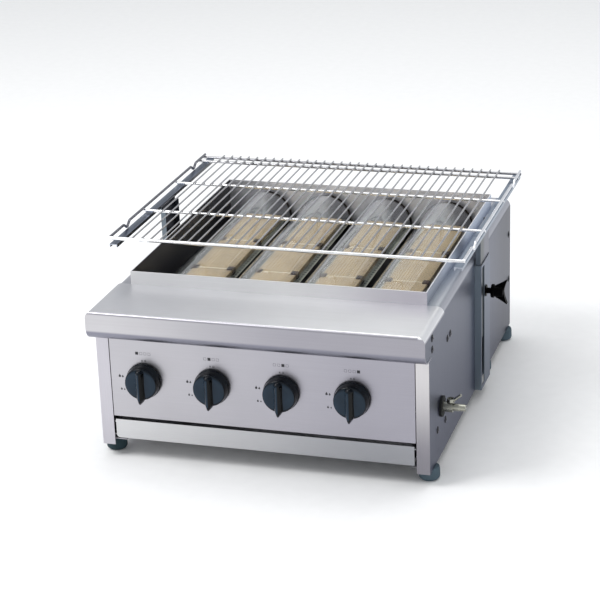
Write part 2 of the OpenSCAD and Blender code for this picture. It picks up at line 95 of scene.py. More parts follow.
def make_object(name, mesh, material, smooth_deg=35):
    """A new object from a bmesh, shaded smooth where its faces meet at less than smooth_deg."""
    bmesh.ops.recalc_face_normals(mesh, faces=mesh.faces)
    for face in mesh.faces:
        face.smooth = True
    for edge in mesh.edges:
        sharp = len(edge.link_faces) != 2 or edge.calc_face_angle(0.0) > math.radians(smooth_deg)
        edge.smooth = not sharp
    data = bpy.data.meshes.new(name)
    mesh.to_mesh(data)
    mesh.free()
    data.materials.append(material)
    obj = bpy.data.objects.new(name, data)
    bpy.context.scene.collection.objects.link(obj)
    return obj


def axis_frame(origin, axis):
    """Matrix that takes local +Z to axis, at origin."""
    turn = Vector(axis).to_track_quat("Z", "Y").to_matrix().to_4x4()
    return Matrix.Translation(origin) @ turn


def fillet(points, radius, steps=4):
    """An open outline with its inner corners rounded by radius."""
    points = [Vector(p) for p in points]
    made = [points[0]]
    for before, corner, after in zip(points, points[1:], points[2:]):
        to_before, to_after = before - corner, after - corner
        reach = min(radius, to_before.length * 0.49, to_after.length * 0.49)
        a = corner + to_before.normalized() * reach
        b = corner + to_after.normalized() * reach
        for k in range(steps + 1):
            t = k / steps
            made.append(a * (1 - t) ** 2 + corner * (2 * t * (1 - t)) + b * t * t)
    made.append(points[-1])
    return made


def add_lathe(mesh, profile, place, sides=48):
    """Turns a profile of (radius, height) points round local +Z and adds it to mesh."""
    rings = []
    for radius, height in profile:
        if radius < 1e-7:
            rings.append([mesh.verts.new(place @ Vector((0, 0, height)))])
            continue
        ring = []
        for k in range(sides):
            a = 2 * math.pi * k / sides
            point = Vector((radius * math.cos(a), radius * math.sin(a), height))
            ring.append(mesh.verts.new(place @ point))
        rings.append(ring)
    for lower, upper in zip(rings, rings[1:]):
        for k in range(sides):
            j = (k + 1) % sides
            corners = [lower[k % len(lower)], lower[j % len(lower)]]
            corners += [upper[j % len(upper)], upper[k % len(upper)]]
            corners = list(dict.fromkeys(corners))
            if len(corners) > 2:
                mesh.faces.new(corners)
    for ring in (rings[0], rings[-1]):
        if len(ring) > 2:
            mesh.faces.new(ring)


def add_loft(mesh, rings):
    """Joins rings of points with the same count into a closed skin with capped ends."""
    made = [[mesh.verts.new(p) for p in ring] for ring in rings]
    count = len(made[0])
    for lower, upper in zip(made, made[1:]):
        for k in range(count):
            j = (k + 1) % count
            mesh.faces.new((lower[k], lower[j], upper[j], upper[k]))
    mesh.faces.new(made[0])
    mesh.faces.new(made[-1])


def rectangle(half_x, half_y):
    """Outline of a rectangle about the origin."""
    return [(-half_x, -half_y), (half_x, -half_y), (half_x, half_y), (-half_x, half_y)]


def add_prism(mesh, outline, place, height):
    """A plate with the given outline in local XY, from local z 0 to height."""
    add_loft(mesh, [[place @ Vector((x, y, z)) for x, y in outline] for z in (0, height)])


def combine(shape, *steps):
    """One closed mesh from overlapping ones: steps are (operation, mesh) pairs, applied in turn."""
    helpers = []
    for mesh in (shape, *(other for _, other in steps)):
        bmesh.ops.recalc_face_normals(mesh, faces=mesh.faces)
        data = bpy.data.meshes.new("step")
        mesh.to_mesh(data)
        mesh.free()
        helpers.append(bpy.data.objects.new("step", data))
        bpy.context.scene.collection.objects.link(helpers[-1])
    for (operation, _), helper in zip(steps, helpers[1:]):
        modifier = helpers[0].modifiers.new("step", "BOOLEAN")
        modifier.operation, modifier.solver, modifier.object = operation, "EXACT", helper
    made = bmesh.new()
    made.from_object(helpers[0], bpy.context.evaluated_depsgraph_get())
    for helper in helpers:
        data = helper.data
        bpy.data.objects.remove(helper)
        bpy.data.meshes.remove(data)
    return made


# ------------------------------------------------------------ material helpers


class Shader:
    """Builds one procedural material from small, named steps."""

    def __init__(self, name, metallic=0.0, **constants):
        self.material = bpy.data.materials.new(name)
        self.material.use_nodes = True
        self.tree = self.material.node_tree
        self.bsdf = self.tree.nodes["Principled BSDF"]
        self.output = self.tree.nodes["Material Output"]
        self.bsdf.inputs["Metallic"].default_value = metallic
        for socket, value in constants.items():
            self.bsdf.inputs[socket.replace("_", " ")].default_value = value
        self.place = self.node("ShaderNodeTexCoord").outputs["Object"]

    def node(self, kind, **values):
        made = self.tree.nodes.new(kind)
        for key, value in values.items():
            if key in made.inputs:
                self.feed(value, made.inputs[key])
            else:
                setattr(made, key, value)
        return made

    def feed(self, value, socket):
        if isinstance(value, bpy.types.NodeSocket):
            self.tree.links.new(value, socket)
        else:
            socket.default_value = value

    def stretched(self, scale):
        return self.node("ShaderNodeMapping", Vector=self.place, Scale=scale).outputs["Vector"]

    def noise(self, scale=1.0, detail=2.0, vector=None, roughness=0.5):
        made = self.node("ShaderNodeTexNoise", Vector=vector or self.place, Scale=scale, Detail=detail,
                         Roughness=roughness)
        return made.outputs["Fac"]

    def ramp(self, value, *stops):
        """A colour from a number: stops are (position, (r, g, b)) or (position, grey)."""
        made = self.node("ShaderNodeValToRGB", Fac=value)
        band = made.color_ramp.elements
        while len(band) < len(stops):
            band.new(0.5)
        for element, (position, color) in zip(band, stops):
            element.position = position
            color = (color,) * 3 if isinstance(color, (int, float)) else color
            element.color = (*color, 1.0)
        return made.outputs["Color"]

    def mix(self, share, a, b, blend="MIX"):
        made = self.node("ShaderNodeMix", data_type="RGBA", blend_type=blend)
        self.feed(share, made.inputs[0])
        self.feed((*a, 1.0) if isinstance(a, tuple) else a, made.inputs[6])
        self.feed((*b, 1.0) if isinstance(b, tuple) else b, made.inputs[7])
        return made.outputs[2]

    def math(self, operation, a, b=0.0):
        made = self.node("ShaderNodeMath", operation=operation)
        self.feed(a, made.inputs[0])
        self.feed(b, made.inputs[1])
        return made.outputs[0]

    def fade(self, value, start, end):
        """0 to 1, smoothly, while value goes from start to end."""
        made = self.node("ShaderNodeMapRange", interpolation_type="SMOOTHSTEP", Value=value)
        made.inputs["From Min"].default_value = start
        made.inputs["From Max"].default_value = end
        return made.outputs["Result"]

    def axis(self, vector, letter):
        return self.node("ShaderNodeSeparateXYZ", Vector=vector).outputs[letter]

    def tone(self, look):
        """A plain colour, or a run from one tone to another along an axis: (axis, start, tone, end, tone)."""
        if len(look) == 3:
            return look
        letter, start, first, end, second = look
        share = self.fade(self.axis(self.place, letter), start, end)
        return self.mix(share, self.tone(first), self.tone(second))

    def facing(self, looks):
        """Painted light and shade: one tone for each way a piece can face: front, right, left, edge (part way
        up), up and down.

        A turn names the part of the normal that it follows, and where its tone starts and is full.
        """
        normal = self.node("ShaderNodeNewGeometry").outputs["Normal"]
        made = self.tone(looks["front"])
        turns = (("right", "X", 0.35, 0.8), ("left", "X", -0.35, -0.8), ("edge", "Z", 0.1, 0.4),
                 ("up", "Z", 0.8, 0.97), ("down", "Z", -0.15, -0.35))
        for way, letter, start, end in turns:
            if way in looks:
                made = self.mix(self.fade(self.axis(normal, letter), start, end), made, self.tone(looks[way]))
        return made

    def color(self, value):
        self.feed(value, self.bsdf.inputs["Base Color"])

    def rough(self, value, low, high):
        made = self.node("ShaderNodeMapRange", Value=value)
        made.inputs["To Min"].default_value = low
        made.inputs["To Max"].default_value = high
        self.feed(made.outputs["Result"], self.bsdf.inputs["Roughness"])

    def bump(self, height, strength, distance):
        made = self.node("ShaderNodeBump", Strength=strength, Distance=distance, Height=height)
        self.feed(made.outputs["Normal"], self.bsdf.inputs["Normal"])


def tint(color, factor):
    return tuple(min(1.0, c * factor) for c in color)


def brushed(name, grain, looks, rough=(0.26, 0.4), stain=0.05):
    """Stainless sheet: a fine grain along one axis, faint wiping marks, and a painted light or shade tone for
    each way it faces.
    """
    shader = Shader(name, metallic=1.0)
    scale = {"x": (5, 1100, 1100), "y": (1100, 5, 1100), "z": (1100, 1100, 5)}[grain]
    streaks = shader.noise(1.0, 3.0, shader.stretched(scale), 0.6)
    clouds = shader.noise(9.0, 4.0)
    lines = shader.ramp(streaks, (0.3, 0.93), (0.7, 1.0))
    shade = shader.ramp(clouds, (0.3, 1.0 - stain), (0.7, 1.0))
    # The facing tones are painted light and shade; the grain lines and wiping marks are real.
    base = shader.mix(1.0, shader.facing(looks), lines, "MULTIPLY")
    shader.color(shader.mix(1.0, base, shade, "MULTIPLY"))
    shader.rough(streaks, *rough)
    shader.bump(streaks, 0.12, 0.05 * MM)
    return shader.material


def heated(name, color, rough=(0.35, 0.6)):
    """Bare steel near the burners, dulled and tinted by heat."""
    shader = Shader(name, metallic=1.0)
    clouds = shader.noise(22.0, 5.0)
    specks = shader.noise(380.0, 2.0)
    warm = tuple(c * f for c, f in zip(color, (1.0, 0.88, 0.72)))
    base = shader.ramp(clouds, (0.32, tint(color, 0.78)), (0.52, color), (0.7, warm))
    spots = shader.ramp(specks, (0.25, 0.8), (0.5, 1.0))
    shader.color(shader.mix(1.0, base, spots, "MULTIPLY"))
    shader.rough(clouds, *rough)
    shader.bump(specks, 0.15, 0.1 * MM)
    return shader.material


def chrome(name, look, rough=(0.1, 0.22)):
    """Plated wire: bright, with a little waviness and dust."""
    shader = Shader(name, metallic=1.0)
    waves = shader.noise(60.0, 2.0)
    dust = shader.ramp(waves, (0.3, 0.88), (0.6, 1.0))
    shader.color(shader.mix(1.0, shader.tone(look), dust, "MULTIPLY"))
    shader.rough(waves, *rough)
    shader.bump(waves, 0.1, 0.1 * MM)
    return shader.material


def arch_end(name, pitch, start, light, dark):
    """Closed end of each glass cover: painted light on its left and painted shade on its right, with a cloudy
    edge between.
    """
    shader = Shader(name, metallic=0.6)
    clouds = shader.noise(30.0, 4.0)
    across = shader.math("SUBTRACT", shader.axis(shader.place, "X"), start)
    across = shader.math("FRACT", shader.math("DIVIDE", across, pitch))
    across = shader.math("ADD", across, shader.math("MULTIPLY", shader.math("SUBTRACT", clouds, 0.5), 0.25))
    # Painted light on the left of each cover's end and painted shade on its right.
    shader.color(shader.mix(shader.fade(across, 0.42, 0.6), light, dark))
    shader.rough(clouds, 0.4, 0.6)
    return shader.material


def burner_sheet(name, color, pitch, row_x):
    """Heat-dulled burner steel with painted shade down its sides, and a row of small holes beside the plates.
    """
    shader = Shader(name, metallic=1.0)
    clouds = shader.noise(22.0, 5.0)
    base = shader.ramp(clouds, (0.32, tint(color, 0.78)), (0.6, color), (0.75, tint(color, 1.2)))
    cells = []
    for letter, start, step in (("X", row_x, pitch), ("Y", 0.0, 0.012)):
        cell = shader.math("SUBTRACT", shader.axis(shader.place, letter), start - step / 2)
        cell = shader.math("SUBTRACT", shader.math("FRACT", shader.math("DIVIDE", cell, step)), 0.5)
        cells.append(shader.math("POWER", shader.math("MULTIPLY", cell, step / (2.2 * MM)), 2.0))
    hole = shader.fade(shader.math("ADD", cells[0], cells[1]), 0.7, 1.3)
    normal = shader.node("ShaderNodeNewGeometry").outputs["Normal"]
    # Near black, used for the holes and for the painted shade on the burner's upright faces.
    hole_and_side_shade = (0.02, 0.02, 0.02)
    # Painted shade: upright faces, which stand in the gaps between burners, are painted near black.
    base_with_side_shade = shader.mix(shader.fade(shader.axis(normal, "Z"), 0.2, 0.7), hole_and_side_shade, base)
    shader.color(shader.mix(hole, hole_and_side_shade, base_with_side_shade))
    shader.rough(clouds, 0.35, 0.6)
    return shader.material


def plastic(name, looks, rough=(0.28, 0.4), grain=900.0, gloss=0.25, coat=0.0):
    """Moulded plastic with a fine texture, faint handling marks, and a painted light or shade tone for each
    way it faces.
    """
    shader = Shader(name, Specular_IOR_Level=gloss, Coat_Weight=coat, Coat_Roughness=0.08)
    fine = shader.noise(grain, 2.0)
    clouds = shader.noise(35.0, 3.0)
    marks = shader.ramp(clouds, (0.3, 0.75), (0.7, 1.0))
    # The facing tones are painted light and shade; the handling marks are real.
    shader.color(shader.mix(1.0, shader.facing(looks), marks, "MULTIPLY"))
    shader.rough(clouds, *rough)
    shader.bump(fine, 0.12, 0.08 * MM)
    return shader.material


def ceramic(name):
    """Burner plate: cream ceramic with a lattice of fine holes and scorched patches."""
    shader = Shader(name)
    lattice = shader.node("ShaderNodeTexVoronoi", Vector=shader.stretched((420, 420, 0)), Scale=1.0,
                          Randomness=0.12)
    holes = shader.ramp(lattice.outputs["Distance"], (0.2, 0.0), (0.34, 1.0))
    clouds = shader.noise(16.0, 4.0)
    cream = shader.ramp(clouds, (0.3, (0.36, 0.26, 0.135)), (0.55, (0.44, 0.325, 0.175)),
                        (0.8, (0.38, 0.285, 0.165)))
    dark = shader.mix(holes, (0.26, 0.18, 0.1), (1.0, 1.0, 1.0))
    shader.color(shader.mix(1.0, cream, dark, "MULTIPLY"))
    shader.rough(clouds, 0.75, 0.95)
    shader.bump(holes, 0.5, 0.4 * MM)
    return shader.material


def cement(name):
    """Pale joint between two plates."""
    shader = Shader(name)
    grains = shader.noise(500.0, 3.0)
    shader.color(shader.ramp(grains, (0.3, (0.55, 0.46, 0.32)), (0.7, (0.74, 0.66, 0.5))))
    shader.rough(grains, 0.8, 0.95)
    shader.bump(grains, 0.4, 0.2 * MM)
    return shader.material


def clear_glass(name):
    """Heat-proof glass that lets lamp light through to the plates, with faint streaks, and a painted
    blue-grey reflection on its left-facing side.
    """
    shader = Shader(name, Transmission_Weight=1.0, IOR=1.47)
    streaks = shader.noise(1.0, 3.0, shader.stretched((120, 5, 120)))
    clear = shader.ramp(streaks, (0.3, (0.88, 0.92, 0.95)), (0.7, (0.98, 0.99, 1.0)))
    painted_reflection = shader.ramp(streaks, (0.4, (0.50, 0.57, 0.72)), (0.6, (0.92, 0.95, 1.0)))
    normal = shader.node("ShaderNodeNewGeometry").outputs["Normal"]
    # Painted reflection: left-facing glass is tinted blue-grey, and its paler streaks are painted highlights.
    shader.color(shader.mix(shader.fade(shader.axis(normal, "X"), -0.25, -0.6), clear, painted_reflection))
    shader.rough(streaks, 0.01, 0.06)
    see_through = shader.node("ShaderNodeBsdfTransparent", Color=(0.93, 0.95, 0.96, 1.0))
    path = shader.node("ShaderNodeLightPath")
    choice = shader.node("ShaderNodeMixShader", Fac=path.outputs["Is Shadow Ray"])
    shader.tree.links.new(shader.bsdf.outputs[0], choice.inputs[1])
    shader.tree.links.new(see_through.outputs[0], choice.inputs[2])
    shader.tree.links.new(choice.outputs[0], shader.output.inputs["Surface"])
    return shader.material


def printed(name, color):
    """Ink printed on steel, a little uneven."""
    shader = Shader(name)
    grains = shader.noise(1500.0, 2.0)
    shader.color(shader.ramp(grains, (0.3, tint(color, 0.7)), (0.7, tint(color, 1.3))))
    shader.rough(grains, 0.4, 0.6)
    return shader.material


def paper_floor(name):
    """Matt pale studio floor."""
    shader = Shader(name)
    grains = shader.noise(40.0, 3.0)
    shader.color(shader.ramp(grains, (0.3, (0.86, 0.86, 0.86)), (0.7, (0.88, 0.88, 0.88))))
    shader.rough(grains, 0.85, 0.95)
    return shader.material


STEEL = (0.5, 0.5, 0.54)
# Near black, the painted shade on right-facing faces at the left end of the rails and posts.
PAINTED_SHADE = (0.03, 0.035, 0.045)
HOOD_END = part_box("front_hood")[1].x
BURNER_PITCH = middle("ceramic_plates_2").x - middle("ceramic_plates_1").x
BURNER_START = middle("ceramic_plates_1").x - BURNER_PITCH / 2
MATERIALS = {
    # Painted light and shade: the hood's front darkens to the right, its right end has a painted highlight,
    # its top lightens to the right, and its curled underside is painted darker.
    "hood": brushed("hood_steel", "x", {
        "front": ("X", -0.3, (0.57, 0.56, 0.58), 0.1, (0.37, 0.36, 0.40)),
        "right": (0.33, 0.33, 0.38), "left": (0.37, 0.37, 0.42),
        "edge": ("X", HOOD_END - 0.014, (0.42, 0.41, 0.45), HOOD_END - 0.009, (0.92, 0.92, 0.95)),
        "up": ("X", -0.26, (0.66, 0.66, 0.69), 0.26, (0.97, 0.97, 0.98)),
        "down": (0.27, 0.27, 0.325),
    }),
    # Painted light and shade: the panel's front darkens towards the right and its underside is painted
    # darker.
    "panel": brushed("panel_steel", "x", {
        "front": ("X", -0.27, (0.50, 0.49, 0.52), 0.27, (0.38, 0.37, 0.42)),
        "up": STEEL, "down": (0.25, 0.25, 0.28),
    }),
    # Painted light: the tray's front runs from light at the left to darker at the right.
    "tray": brushed("tray_steel", "x", {
        "front": ("X", -0.27, (0.64, 0.64, 0.65), 0.25, (0.34, 0.345, 0.37)), "up": STEEL,
    }),
    # Painted light and shade: the left side's front flange is painted light and its right-facing faces dark.
    "left_side": brushed("left_side_steel", "z", {
        "front": (0.57, 0.555, 0.60), "right": (0.16, 0.16, 0.18), "left": (0.30, 0.31, 0.36),
        "edge": STEEL, "up": STEEL,
    }, (0.32, 0.45)),
    # Painted light and shade: the right side's outer face is painted dark blue-grey, darker towards the rear
    # and the bottom; its front flange darker low down; its top darker towards the rear.
    "right_side": brushed("right_side_steel", "z", {
        "front": ("Z", 0.05, (0.28, 0.27, 0.30), 0.21, (0.68, 0.66, 0.67)),
        "right": ("Y", 0.14, ("Z", 0.03, (0.088, 0.098, 0.152), 0.26, (0.118, 0.130, 0.180)),
                  0.34, ("Z", 0.03, (0.055, 0.060, 0.090), 0.26, (0.072, 0.077, 0.105))),
        "left": (0.16, 0.16, 0.18), "edge": (0.50, 0.51, 0.57),
        "up": ("Y", -0.22, (0.66, 0.69, 0.73), 0.0, (0.34, 0.38, 0.46)),
    }, (0.32, 0.45)),
    # Painted light: the back's top is painted lighter than its front.
    "back": brushed("back_steel", "x", {"front": STEEL, "up": (0.62, 0.62, 0.66)}),
    # Painted light and shade: the guide channels' faces are lighter or darker by the way they face, with the
    # side faces painted dark.
    "guide": brushed("guide_steel", "z", {
        "front": (0.26, 0.31, 0.355), "right": (0.098, 0.125, 0.185),
        "left": (0.08, 0.113, 0.14), "up": STEEL,
    }, (0.3, 0.42)),
    # Painted light and shade: the rim's front darkens to the right and is painted light on the rear wall, the
    # left wall's inner face is painted dark, the right wall's outer face lightens towards the rear, and its
    # top is painted bright.
    "rim": brushed("rim_steel", "x", {
        "front": ("Y", 0.0, ("X", 0.0, (0.76, 0.76, 0.76), 0.27, (0.52, 0.50, 0.55)),
                  0.1, (0.97, 0.96, 1.0)),
        "right": ("X", -0.26, (0.10, 0.10, 0.11),
                  0.26, ("Y", -0.2, (0.34, 0.37, 0.44), 0.0, (0.56, 0.62, 0.74))),
        "left": (0.35, 0.35, 0.38), "up": (0.93, 0.93, 0.95),
    }, (0.42, 0.55)),
    # Painted light and shade: the rails' right-facing faces are painted near black at the left, and their
    # tops are darker at the left.
    "rail": brushed("rail_steel", "y", {
        "front": (0.5, 0.53, 0.6), "right": ("X", -0.2, PAINTED_SHADE, 0.2, (0.28, 0.33, 0.40)),
        "left": (0.2, 0.22, 0.27), "up": ("X", -0.2, (0.17, 0.20, 0.26), 0.2, (0.25, 0.30, 0.38)),
    }),
    # Painted shade: the posts' right-facing faces are painted near black at the left and dark in front at the
    # right, like a shaded slot.
    "post": brushed("post_steel", "z", {
        "front": (0.17, 0.20, 0.23),
        "right": ("X", -0.2, PAINTED_SHADE, 0.2, ("Y", 0.055, (0.03, 0.04, 0.05), 0.075, (0.11, 0.115, 0.16))),
        "left": (0.2, 0.21, 0.24), "up": STEEL,
    }),
    "inner": heated("inner_steel", (0.22, 0.22, 0.23)),
    # Painted light on the left and painted shade on the right of each glass cover's end.
    "arch": arch_end("arch_end_steel", BURNER_PITCH, BURNER_START, (0.42, 0.42, 0.45),
                     (0.012, 0.008, 0.007)),
    "burner": burner_sheet("burner_steel", (0.40, 0.40, 0.33), BURNER_PITCH, -0.141),
    "clip": heated("scorched_clip", (0.09, 0.06, 0.045), (0.5, 0.7)),
    # Painted reflection: the front bars are bright and the rear bars are painted grey.
    "bar": chrome("bright_bar", ("Y", 0.29, (0.97, 0.97, 0.98), 0.315, (0.36, 0.36, 0.38))),
    "wire": chrome("grate_wire", (0.46, 0.46, 0.48)),
    # Painted light and shade: the left side rod is painted dark and the right one bright.
    "side_rod": chrome("side_rod_wire", ("X", -0.2, (0.22, 0.22, 0.25), 0.2, (0.88, 0.9, 0.95))),
    "screw": chrome("screw_steel", (0.07, 0.07, 0.08), (0.1, 0.2)),
    "zinc": chrome("zinc_plate", (0.62, 0.62, 0.64), (0.2, 0.32)),
    "brass": chrome("plated_brass", (0.36, 0.36, 0.31), (0.2, 0.35)),
    "pipe": chrome("drawn_tube", (0.55, 0.56, 0.57), (0.25, 0.4)),
    # Painted shade: the knobs' right-facing faces are near black and their tops and edges dark; the front
    # keeps the slate colour.
    "knob": plastic("slate_plastic", {
        "front": (0.014, 0.028, 0.047), "right": (0.0006, 0.0008, 0.001), "left": (0.014, 0.027, 0.043),
        "edge": (0.004, 0.007, 0.011), "up": (0.003, 0.004, 0.006), "down": (0.004, 0.006, 0.01),
    }, (0.12, 0.22), 900.0, 0.12, 0.15),
    "clamp": plastic("black_plastic", {"front": (0.0006, 0.0006, 0.0007)}, (0.3, 0.45), 900.0, 0.03),
    # Painted light and shade: the feet are painted darker at the left and lighter at the right.
    "rubber": plastic("slate_rubber", {
        "front": ("X", -0.25, (0.028, 0.054, 0.066), 0.25, (0.085, 0.125, 0.155)),
    }, (0.55, 0.75), 500.0, 0.2),
    "black_rubber": plastic("black_rubber", {"front": (0.012, 0.013, 0.014)}, (0.6, 0.75), 500.0, 0.2),
    "ceramic": ceramic("ceramic_plate"),
    "cement": cement("plate_cement"),
    "glass": clear_glass("cover_glass"),
    "ink": printed("panel_ink", (0.015, 0.015, 0.02)),
}


def node_look(node):
    """Which material a carried-over CAD node takes."""
    starts = {
        "side_panel_left": "left_side", "side_panel_right": "right_side", "back_panel": "back",
        "front_hood": "hood", "opening_rim": "rim", "control_panel": "panel", "drip_tray": "tray",
        "floor_rails": "inner", "tray_runners": "inner", "burner_rails": "inner", "burner_body": "burner",
        "ceramic_plates": "ceramic", "plate_clips": "clip", "glass_cover": "glass", "glass_ends": "arch",
        "mixing_tube": "pipe", "gas_manifold": "pipe", "gas_valves": "brass", "gas_nozzles": "brass",
        "supply_pipe": "brass", "gas_cock": "brass", "cock_lever": "brass", "inlet_grommet": "black_rubber",
        "valve_stem": "zinc", "knob_": "knob", "guide_channel": "guide", "height_post": "post",
        "grate_rail": "rail", "grate_bars": "bar", "grate_side_rods": "side_rod", "grate_wires": "wire",
        "clamp_knob": "clamp", "clamp_stud": "zinc", "clamp_nuts": "zinc", "feet": "rubber",
        "foot_bolts": "zinc", "side_screws": "screw",
    }
    for start, look in starts.items():
        if node.startswith(start):
            return look
    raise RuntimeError(f"no material for {node}")


def dress_cad_nodes():
    for name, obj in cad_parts.items():
        obj.data.materials.clear()
        obj.data.materials.append(MATERIALS[node_look(name)])


# ---------------------------------------------------------------------- pieces


def grip_ring(z, half, base, crest, place):
    """One cross-section of a knob's grip: a narrow crest between two sloping sides."""
    top = min(1.7 * MM, half * 0.5)
    rise = crest - base
    side = [(half, 0.0), (half * 0.97, rise * 0.35), ((half + top) * 0.42, rise * 0.8),
            (top, rise - 0.5 * MM), (top * 0.6, rise)]
    outline = [(-across, up) for across, up in side] + [(across, up) for across, up in reversed(side)]
    return [place @ Vector((across, z, base + up)) for across, up in outline]


def knob(number):
    """Valve knob: a tapered skirt, a domed face, a grip bar with a pointer, and a bore for the stem."""
    node, stem = f"knob_{number}", f"valve_stem_{number}"
    low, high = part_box(node)
    stem_low, stem_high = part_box(stem)
    centre = middle(stem)
    outer = (high.x - low.x) / 2
    depth = high.y - low.y
    place = axis_frame(Vector((centre.x, high.y, centre.z)), (0, -1, 0))
    skirt = depth - GRIP_RISE
    profile = fillet([
        (0, 0), (outer, 0), (outer, 2 * MM), (outer - 1 * MM, 3 * MM), (outer - 3 * MM, skirt),
        (outer - 9 * MM, skirt + 1.6 * MM), (0, skirt + 2.6 * MM)
    ], 2.2 * MM)
    body, grip, bore = bmesh.new(), bmesh.new(), bmesh.new()
    add_lathe(body, profile, place, 72)
    bore_r = (stem_high.x - stem_low.x) / 2 + STEM_CLEARANCE
    bore_end = high.y - stem_low.y + KNOB_PUSH + 1 * MM
    add_lathe(bore, [(0, -1 * MM), (bore_r, -1 * MM), (bore_r, bore_end), (0, bore_end)], place, 48)

    top, tip = outer - 4.5 * MM, -(centre.z - low.z)
    rings, steps = [], 24
    for k in range(steps + 1):
        t = k / steps
        z = top + (tip - top) * t
        nose = min(1.0, (t * (top - tip) + 0.6 * MM) / (6 * MM))
        tail = min(1.0, (z - tip + 1.2 * MM) / (12 * MM))
        half = GRIP_HALF * math.sqrt(max(0.05, 1 - (1 - nose) ** 2)) * (0.12 + 0.88 * tail)
        crest = depth - 4.5 * MM * (1 - nose) ** 2 - 5.5 * MM * (1 - tail) ** 2
        rings.append(grip_ring(z, half, skirt - 7 * MM, crest, place))
    add_loft(grip, rings)
    mesh = combine(body, ("UNION", grip), ("DIFFERENCE", bore))
    made = make_object(f"valve_knob_{number}", mesh, MATERIALS["knob"], 40)
    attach(made, f"dial_{number}")
    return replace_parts(made, node)


def feet():
    """Rubber feet, chamfered below and waisted where they meet the flange."""
    mesh = bmesh.new()
    for low, high in solid_boxes("feet"):
        r, h = (high.x - low.x) / 2, high.z - low.z
        place = Matrix.Translation(((low.x + high.x) / 2, (low.y + high.y) / 2, low.z))
        profile = fillet([
            (0, 0), (r - 5 * MM, 0), (r, 5 * MM), (r - 0.4 * MM, h - 4 * MM), (r - 1.5 * MM, h),
            (0, h)
        ], 1.6 * MM)
        add_lathe(mesh, profile, place, 48)
    made = make_object("rubber_feet", mesh, MATERIALS["rubber"])
    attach(made, "cabinet")
    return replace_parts(made, "feet")


def wing_outline():
    """Outline of one wing of the wing knob, in mm: (along the stud, out from it)."""
    return [(17, 0), (17, 9.5), (20, 12), (25, 14.5), (31, 18), (36, 21.5), (39, 23.5), (40, 22.6),
            (38.5, 19.5), (37, 15), (35.5, 10), (34.4, 5), (34, 0)]


def clamp_knob(side):
    """Black wing knob: washer, collar, hub and two wings that flare outwards."""
    node = f"clamp_knob_{side}"
    sign = 1 if side == "right" else -1
    low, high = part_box(node)
    centre = middle(f"clamp_stud_{side}")
    face = low.x if sign > 0 else high.x
    place = axis_frame(Vector((face, centre.y, centre.z)), (sign, 0, 0))
    mesh = bmesh.new()
    body = fillet([(0, 0), (11, 0), (11, 1.5), (5.5, 1.6), (5.5, 10.4), (12.6, 10.5), (13, 15.4),
                   (10.8, 16.5), (10.2, 33), (0, 34)], 0.9)
    add_lathe(mesh, [(r * MM, h * MM) for r, h in body], place, 40)
    up = place.to_3x3().inverted() @ Vector((0, 0, 1))
    across = place.to_3x3().inverted() @ Vector((0, 1, 0))
    for way in (1, -1):
        rings = []
        for thickness, grow in ((-4, -0.8), (-3.2, 0), (3.2, 0), (4, -0.8)):
            ring = []
            for along, out in wing_outline():
                reach = max(0.0, out + grow) * way
                point = Vector((0, 0, along * MM)) + up * reach * MM + across * thickness * MM
                ring.append(place @ point)
            rings.append(ring)
        add_loft(mesh, rings)
    made = make_object(f"wing_knob_{side}", mesh, MATERIALS["clamp"])
    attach(made, f"clamp_{side}")
    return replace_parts(made, node)


def screw_seats():
    """Each side screw's place on its panel, facing outwards, with its head's radius and height."""
    seats = []
    for low, high in solid_boxes("side_screws"):
        sign = 1 if low.x > 0 else -1
        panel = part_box("side_panel_right" if sign > 0 else "side_panel_left")
        plane = panel[1].x if sign > 0 else panel[0].x
        spot = Vector((plane, (low.y + high.y) / 2, (low.z + high.z) / 2))
        height = max(high.x, -low.x) - abs(plane)
        seats.append((axis_frame(spot, (sign, 0, 0)), (high.z - low.z) / 2, height))
    return seats


def screw_heads():
    """Pan heads with a cross recess in place of the plain CAD heads."""
    mesh = bmesh.new()
    for place, r, height in screw_seats():
        shank = [(0, -4 * MM), (r * 0.45, -4 * MM), (r * 0.45, 0), (r, 0)]
        dome = [(r * math.cos(a), height * (0.35 + 0.65 * math.sin(a)))
                for a in (math.radians(d) for d in (0, 25, 50, 70))]
        recess = [(r * 0.3, height * 0.98), (r * 0.12, height * 0.35), (0, height * 0.3)]
        add_lathe(mesh, shank + dome + recess, place, 24)
        for turn in (0, 1):
            bar = Matrix.Rotation(math.radians(45 + 90 * turn), 4, "Z")
            lift = Matrix.Translation((0, 0, height * 0.86))
            add_prism(mesh, rectangle(r * 0.5, r * 0.09), place @ bar @ lift, height * 0.1)
    made = make_object("pan_head_screws", mesh, MATERIALS["screw"])
    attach(made, "cabinet")
    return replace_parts(made, "side_screws")


def screw_washers():
    """Thin blackened washers that show as a dark ring round each screw head."""
    mesh = bmesh.new()
    for place, r, _ in screw_seats():
        add_lathe(mesh, [(0, 0), (r * 1.7, 0), (r * 1.6, 0.35 * MM), (0, 0.35 * MM)], place, 24)
    made = make_object("screw_washers", mesh, MATERIALS["clamp"])
    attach(made, "cabinet")
    return made


def plate_joints():
    """Pale cement lines between the ceramic plates of each burner."""
    mesh = bmesh.new()
    for number in BURNERS:
        plates = sorted(solid_boxes(f"ceramic_plates_{number}"), key=lambda pair: pair[0].y)
        for first, second in zip(plates, plates[1:]):
            y = (first[1].y + second[0].y) / 2
            top, width = first[1].z, first[1].x - first[0].x
            place = Matrix.Translation(((first[0].x + first[1].x) / 2, y, top))
            add_prism(mesh, rectangle(width / 2 - 1 * MM, 1.1 * MM), place, 0.5 * MM)
    made = make_object("plate_joints", mesh, MATERIALS["cement"])
    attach(made, "cabinet")
    return made


